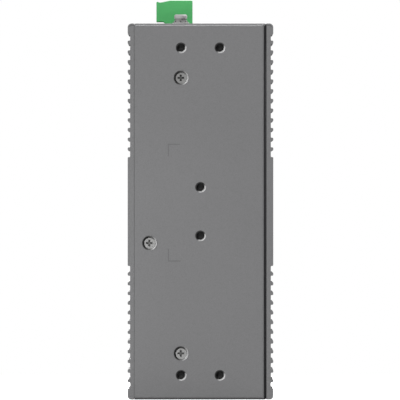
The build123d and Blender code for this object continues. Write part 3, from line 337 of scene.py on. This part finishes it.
# Finishes of single pieces, which the photograph shows apart from their slot's.
screw_plating = {"scale": 1600, "strength": 0.05, "cloudy": 0.06, "vary": 0.08}
stack_plating = {"scale": 1600, "strength": 0.03, "cloudy": 0.05, "vary": 0.08}
# The screws' and the ground stack's zinc darken as painted shade in their crevices, and the rear screws'
# also in their recesses.
screw_zinc = plated_metal("screw_zinc", (0.46, 0.46, 0.456), 0.42, darkest=0.05, **screw_plating)
rear_zinc = plated_metal("rear_zinc", (0.43, 0.43, 0.426), 0.42, darkest=0.35, **screw_plating)
paint_recess_shade(rear_zinc, face=-0.05518, depth=0.00025, darkest=0.6)
stud_zinc = plated_metal("stud_zinc", (0.42, 0.42, 0.416), 0.6, darkest=0.35, **stack_plating)
dull(stud_zinc, specular=0.2)
# Darker copy of the stud's zinc on the washers and their core, as painted shade round the screw's neck.
shaded_washer_zinc = plated_metal("shaded_washer_zinc", (0.31, 0.31, 0.306), 0.6, darkest=0.3, **stack_plating)
dull(shaded_washer_zinc, specular=0.2)
# Near-black cap at the bottom of each tapped hole, as painted shade.
hole_shade_cap = plated_metal("hole_shade_cap", (0.035, 0.035, 0.035), 0.6, 1600, strength=0.05, cloudy=0.05)
dull(hole_shade_cap)
# Near-black metal in the tapped holes' threads and bores, as painted shade.
hole_shade_metal = plated_metal("hole_shade_metal", (0.05, 0.05, 0.052), 0.5, 2200, strength=0.05, cloudy=0.1)
bend_paint = powder_coat("bend_paint", GREY, roughness=0.29, relief=0.03)
# Darker paint for the painted shade along the side plates' rounded top edges.
edge_shade_paint = powder_coat("edge_shade_paint", scaled(GREY, 0.62))
mark_paint = powder_coat("mark_paint", scaled(GREY, 0.8))
# The tapped holes' chamfers and the rear screws' seats carry painted shade on the upper left and painted
# light on the lower right.
lit_shaded_chamfer = lit_and_shaded_edge("lit_shaded_chamfer", greys((0.0, 0.05), (0.35, 0.13), (1.0, 0.54)))
lit_shaded_seat = lit_and_shaded_edge("lit_shaded_seat", greys((0.0, 0.05), (0.25, 0.12), (0.55, 0.17), (1.0, 0.48)))
own_finish = {
    "rear_screws": rear_zinc,
    "left_plate_screws": screw_zinc,
    "right_plate_screws": screw_zinc,
    "ground_screw": stud_zinc,
    "ground_flat_washer": stud_zinc,
    "ground_tooth_washer": shaded_washer_zinc,
    "ground_spring_washer": shaded_washer_zinc,
}

for row in frame["record"]["subparts"]:
    target = nodes[row["node"]]
    target.data.materials.clear()
    target.data.materials.append(own_finish.get(row["node"], materials[row["material_slot"]]))


# Edges of the carried-over solids.

def soften(name, width):
    """Round a node's sharp edges by a modifier, so that they catch the light as real ones do."""
    target = nodes[name]
    weld = target.modifiers.new("weld", "WELD")
    weld.merge_threshold = 1e-6
    bevel = target.modifiers.new("bevel", "BEVEL")
    bevel.width = width * MM
    bevel.segments = 2
    bevel.limit_method = "ANGLE"
    bevel.angle_limit = math.radians(35)
    bevel.harden_normals = True


for name, width in (
    ("terminal_plug", 0.18),
    ("terminal_header", 0.1),
    ("rear_screws", 0.06),
    ("ground_screw", 0.12),
    ("ground_flat_washer", 0.08),
    ("ground_tooth_washer", 0.06),
    ("ground_spring_washer", 0.08),
    ("terminal_screws", 0.1),
):
    soften(name, width)


# Added detail. The shapes below are (vertices, faces), with the vertices in millimetres.

def add_piece(name, shape, slot, finish=None, smooth=True):
    """Mesh piece that rides on the one body and takes a slot's finish, or one of its own."""
    vertices, faces = shape
    mesh = bpy.data.meshes.new(name)
    mesh.from_pydata([tuple(value * MM for value in point) for point in vertices], [], faces)
    mesh.materials.append(finish or materials[slot])
    mesh.validate()
    mesh.update()
    for polygon in mesh.polygons:
        polygon.use_smooth = smooth
    piece = bpy.data.objects.new(name, mesh)
    bpy.context.scene.collection.objects.link(piece)
    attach(piece, "root")
    return piece


def joined(shapes):
    """One shape from several."""
    vertices, faces = [], []
    for points, loops in shapes:
        base = len(vertices)
        vertices += points
        faces += [tuple(base + i for i in loop) for loop in loops]
    return vertices, faces


def strips(rows, columns, closed=False, flip=False):
    """Faces between each row of vertices and the next, and between the last and the first if closed.

    Flip turns them to face the other way.
    """
    faces = []
    for row in range(rows if closed else rows - 1):
        a, b = row * columns, (row + 1) % rows * columns
        if flip:
            faces += [(a + i, a + i + 1, b + i + 1, b + i) for i in range(columns - 1)]
        else:
            faces += [(a + i, b + i, b + i + 1, a + i + 1) for i in range(columns - 1)]
    return faces


def circle(steps):
    """Angles of a full turn in equal steps, with their cosines and sines."""
    for i in range(steps):
        angle = 2 * math.pi * i / steps
        yield angle, math.cos(angle), math.sin(angle)


def thread(place, radius=1.65, pitch=0.7, start=-55.25, end=-54.0, depth=0.22, steps=40):
    """Internal thread ridge round a Y axis from y start to end, faded out at both ends."""
    count = int((end - start) / pitch * steps)
    vertices = []
    for i in range(count + 1):
        angle = 2 * math.pi * i / steps
        y = start + pitch * i / steps
        fade = min(1.0, 4 * i / steps, 4 * (count - i) / steps)
        for r, dy in ((radius, -0.4 * pitch), (radius - depth * fade, 0.0), (radius, 0.4 * pitch)):
            vertices.append((place[0] + r * math.cos(angle), y + dy, place[1] + r * math.sin(angle)))
    return vertices, strips(count + 1, 3)


def turned(place, profile, upright=False, steps=64):
    """Closed ring round a Y or Z axis from (radius, along) points, crisp at each of them."""
    sides = []
    for ends in zip(profile, profile[1:] + profile[:1]):
        vertices = []
        for _, cos, sin in circle(steps):
            for r, along in ends:
                u, v = place[0] + r * cos, place[1] + r * sin
                vertices.append((u, v, along) if upright else (u, along, v))
        sides.append((vertices, strips(steps, 2, closed=True)))
    return joined(sides)


def light_and_shade_ring(name, places, outer, inner, shift, floor, finish, towards, full, none, steps=72):
    """Sloping ring round each Y axis, its inner circle shifted towards the lower right.

    Its slope is 45 degrees, and it ends at the radius floor, just behind the slope. It carries painted
    light within full degrees of the direction towards, and painted shade past none degrees.
    """
    rings, painted_light = [], []
    hub = shift * math.sqrt(0.5)
    for x, z in places:
        vertices = []
        for angle, cos, sin in circle(steps):
            low_x, low_z = hub + inner * cos, -hub + inner * sin
            deep = REAR - 0.02 + outer - max(math.hypot(low_x, low_z), floor)
            vertices += [
                (x + outer * cos, REAR - FILM, z + outer * sin),
                (x + (outer - 0.02) * cos, REAR - FILM / 3, z + (outer - 0.02) * sin),
                (x + low_x, deep, z + low_z),
                (x + floor * cos, deep + 0.05, z + floor * sin),
            ]
            off = abs((math.degrees(angle) - towards + 180) % 360 - 180)
            painted_light += [min(1.0, max(0.0, (none - off) / (none - full)))] * 4
        rings.append((vertices, strips(steps, 4, closed=True)))
    piece = add_piece(name, joined(rings), "plated_steel", finish)
    piece.data.attributes.new("painted_light", "FLOAT", "POINT").data.foreach_set("value", painted_light)


def corner_mark(z, rise, x=-13.2, y=-55.9, length=4.9, half=0.21):
    """Flat L in the XZ plane round its corner, its upright leg going up or down by rise."""
    outline = [
        (-half, -half), (length, -half), (length, half),
        (half, half), (half, length), (-half, length),
    ]
    return [(x + dx, y, z + rise * dz) for dx, dz in outline], [(0, 1, 2, 3), (0, 3, 4, 5)]


def plate_end_line(side, start=27.35, corner=28.4, radius=1.6, sweep=75, steps=8):
    """Flat dark line along the top of a side plate's end and round its corner, on one side or the other,
    as painted shade of its rounded edge.
    """
    turns = [(start, 90)] + [(corner, 90 - sweep * i / steps) for i in range(steps + 1)]
    vertices = []
    for x, turn in turns:
        angle = math.radians(turn)
        for inset in (0.52, 0.95):
            reach = radius - inset
            across, up = x + reach * math.cos(angle), TOP - radius + reach * math.sin(angle)
            vertices.append((side * across, REAR - FILM, up))
    faces = []
    for a in range(0, 2 * len(turns) - 2, 2):
        faces.append((a, a + 1, a + 3, a + 2) if side > 0 else (a, a + 2, a + 3, a + 1))
    return vertices, faces


def bend_film(x0, x1, lift=0.004, steps=12):
    """Film over the fold between the rear wall and the top."""
    reach = FOLD + lift
    vertices = []
    for x in (x0, x1):
        for i in range(steps + 1):
            angle = math.radians(90) * i / steps
            vertices.append(
                (x, REAR + FOLD - reach * math.cos(angle), TOP - FOLD + reach * math.sin(angle))
            )
    return vertices, strips(2, steps + 1, flip=True)


def gasket(node, gap=0.32, y0=54.3, y1=54.99, wall=1.2):
    """Rectangular ring in the XZ plane round a node, from y0 to y1."""
    low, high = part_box(node)
    corners = []
    for grow in (gap, gap + wall):
        x0, x1 = low[0] / MM - grow, high[0] / MM + grow
        z0, z1 = low[2] / MM - grow, high[2] / MM + grow
        corners += [(x0, z0), (x1, z0), (x1, z1), (x0, z1)]
    vertices = [(x, y, z) for y in (y0, y1) for x, z in corners]
    faces = []
    for i in range(4):
        k = (i + 1) % 4
        faces += [
            (i, k, k + 4, i + 4),
            (i + 8, i + 12, k + 12, k + 8),
            (i, i + 8, k + 8, k),
            (i + 4, k + 4, k + 12, i + 12),
        ]
    return vertices, faces


# The threads of the tapped holes are near-black as painted shade.
threads = joined([thread(place) for place in TAPPED_HOLES])
add_piece("bracket_hole_threads", threads, "plated_steel", hole_shade_metal)

# The seats' painted light and shade lie a little to the right of the screws, as in the photograph.
seat_places = [(x + 0.08, z) for x, z in REAR_SCREWS]
light_and_shade_ring(
    "bracket_hole_rims", TAPPED_HOLES, outer=2.2, inner=1.68, shift=-0.14, floor=1.65,
    finish=lit_shaded_chamfer, towards=-47, full=55, none=88,
)
light_and_shade_ring(
    "rear_screw_seats", seat_places, outer=3.03, inner=2.3, shift=0.12, floor=2.5,
    finish=lit_shaded_seat, towards=-8, full=42, none=120,
)

lip = [(3.4, -56.001), (3.02, -56.001), (3.02, -55.97), (3.2, -55.99)]
add_piece("rear_screw_seat_lips", joined([turned(place, lip) for place in seat_places]), "case_paint")

core = [(2.31, 156.27), (2.31, 157.03), (2.1, 157.03), (2.1, 156.27)]
add_piece("spring_washer_core", turned(GROUND_SCREW, core, upright=True), "plated_steel", shaded_washer_zinc)

# The bores of the tapped holes are near-black as painted shade.
bore = [(1.81, -55.63), (1.68, -55.52), (1.64, -55.42), (1.63, -54.2), (1.66, -54.2), (1.78, -55.5)]
bores = joined([turned(place, bore) for place in TAPPED_HOLES])
add_piece("bracket_hole_bores", bores, "plated_steel", hole_shade_metal)

# The tapped holes' near-black caps stand in for the shade deep in the holes.
cup = [
    (0.02, -53.0), (2.1, -53.0), (2.35, -53.2), (2.35, -53.78),
    (1.75, -53.78), (1.75, -53.35), (1.6, -53.2), (0.02, -53.2),
]
caps = joined([turned(place, cup) for place in TAPPED_HOLES])
add_piece("bracket_hole_caps", caps, "plated_steel", hole_shade_cap)

marks = joined([corner_mark(z=57.1, rise=1), corner_mark(z=105.2, rise=-1)])
add_piece("engraved_corner_paint", marks, "case_paint", mark_paint)

bead = [(-27.42, -55.5), (-27.42, -55.86), (-27.3, -55.9), (-27.18, -55.86), (-27.18, -55.5)]
bead_points = [(x, y, z) for z in (0.5, 154.5) for x, y in bead]
add_piece("left_seam_bead", (bead_points, strips(2, len(bead), flip=True)), "case_paint", mark_paint)

# Black strip over the right fold and in the gap beside it, as painted shade; it draws back at its upper
# end, under the top wall's fold.
shade_strip = [(26.15, -55.83), (26.42, -55.6), (26.7, -55.45), (26.98, -55.36), (27.18, -54.9)]
shade_strip_points = [(x, y + back, z) for z, back in ((0.3, 0.0), (153.9, 0.0), (154.9, 0.9)) for x, y in shade_strip]
add_piece("right_gap_shade_strip", (shade_strip_points, strips(3, len(shade_strip), flip=True)), "black_plastic")

lines = joined([plate_end_line(side) for side in (-1, 1)])
add_piece("plate_end_lines", lines, "plate_paint", edge_shade_paint)

add_piece("top_bend_film", bend_film(-26.9, 25.4), "case_paint", bend_paint)

gaskets = joined([gasket("socket_pair_%d" % (i + 1)) for i in range(SOCKET_PAIRS)])
add_piece("socket_gaskets", gaskets, "heat_pad", smooth=False)


# Stage, light and camera.

def shader_node(tree, kind, brightness, strength=None):
    """Output of a grey shader of some kind."""
    node = tree.nodes.new(kind)
    node.inputs["Color"].default_value = (brightness, brightness, brightness, 1)
    if strength is not None:
        node.inputs["Strength"].default_value = strength
    return node.outputs[0]


def split_rays(tree, seen, others, output_kind):
    """Show one shader itself, and let the object be lit by another."""
    output = tree.nodes.new(output_kind)
    path = tree.nodes.new("ShaderNodeLightPath")
    mix = tree.nodes.new("ShaderNodeMixShader")
    tree.links.new(path.outputs["Is Camera Ray"], mix.inputs["Fac"])
    tree.links.new(others, mix.inputs[1])
    tree.links.new(seen, mix.inputs[2])
    tree.links.new(mix.outputs[0], output.inputs["Surface"])


def add_floor(half=1.0, drop=0.00005):
    """Pale floor, half its width in metres each way, just under the object."""
    material = bpy.data.materials.new("floor")
    material.use_nodes = True
    tree = material.node_tree
    tree.nodes.clear()
    seen = tree.nodes.new("ShaderNodeAddShader")
    tree.links.new(shader_node(tree, "ShaderNodeBsdfDiffuse", 0.8), seen.inputs[0])
    tree.links.new(shader_node(tree, "ShaderNodeEmission", 1, strength=0.8), seen.inputs[1])
    quiet = shader_node(tree, "ShaderNodeBsdfDiffuse", 0.3)
    split_rays(tree, seen.outputs[0], quiet, "ShaderNodeOutputMaterial")
    mesh = bpy.data.meshes.new("floor")
    corners = [(-half, -half, 0), (half, -half, 0), (half, half, 0), (-half, half, 0)]
    mesh.from_pydata(corners, [], [(0, 1, 2, 3)])
    mesh.materials.append(material)
    floor = bpy.data.objects.new("floor", mesh)
    floor.location.z = -drop
    bpy.context.scene.collection.objects.link(floor)


def add_light(name, place, target, size, power):
    """Round area light, its place and target in metres, its size in metres and its power in watts."""
    data = bpy.data.lights.new(name, "AREA")
    data.shape = "DISK"
    data.size = size
    data.energy = power
    light = bpy.data.objects.new(name, data)
    bpy.context.scene.collection.objects.link(light)
    light.visible_camera = False
    light.location = place
    light.rotation_mode = "QUATERNION"
    light.rotation_quaternion = (Vector(target) - Vector(place)).to_track_quat("-Z", "Y")


add_floor()

world = bpy.context.scene.world or bpy.data.worlds.new("world")
bpy.context.scene.world = world
world.use_nodes = True
world.node_tree.nodes.clear()
split_rays(
    world.node_tree,
    seen=shader_node(world.node_tree, "ShaderNodeBackground", 1, strength=1.0),
    others=shader_node(world.node_tree, "ShaderNodeBackground", 1, strength=0.14),
    output_kind="ShaderNodeOutputWorld",
)

middle = (0, 0, 0.08)
rear_foot = (0, -0.056, 0.0)
for name, place, target, size, power in (
    ("key_light", (-1.52, -1.41, 1.29), middle, 0.42, 31),
    ("bend_light", (0, -1.58, 1.3), middle, 0.1, 11),
    ("low_fill", (-0.12, -0.34, 0.03), rear_foot, 0.12, 0.17),
    ("socket_side_light", (-0.5, 1.5, 0.9), middle, 0.9, 25),
    ("right_side_light", (1.35, 0.45, 1.45), middle, 0.6, 42),
):
    add_light(name, place, target, size, power)

data = bpy.data.cameras.new("camera")
data.type = "PERSP"
data.sensor_width = SENSOR
data.lens = LENS
data.clip_end = 40
camera = bpy.data.objects.new("camera", data)
bpy.context.scene.collection.objects.link(camera)
camera.location = (FRAME_X, REAR * MM - LENS * FRAME_WIDTH / SENSOR, FRAME_Z)
camera.rotation_euler = (math.radians(90), 0, 0)
bpy.context.scene.camera = camera

bpy.context.scene.view_settings.view_transform = "Standard"
bpy.context.scene.view_settings.look = "None"
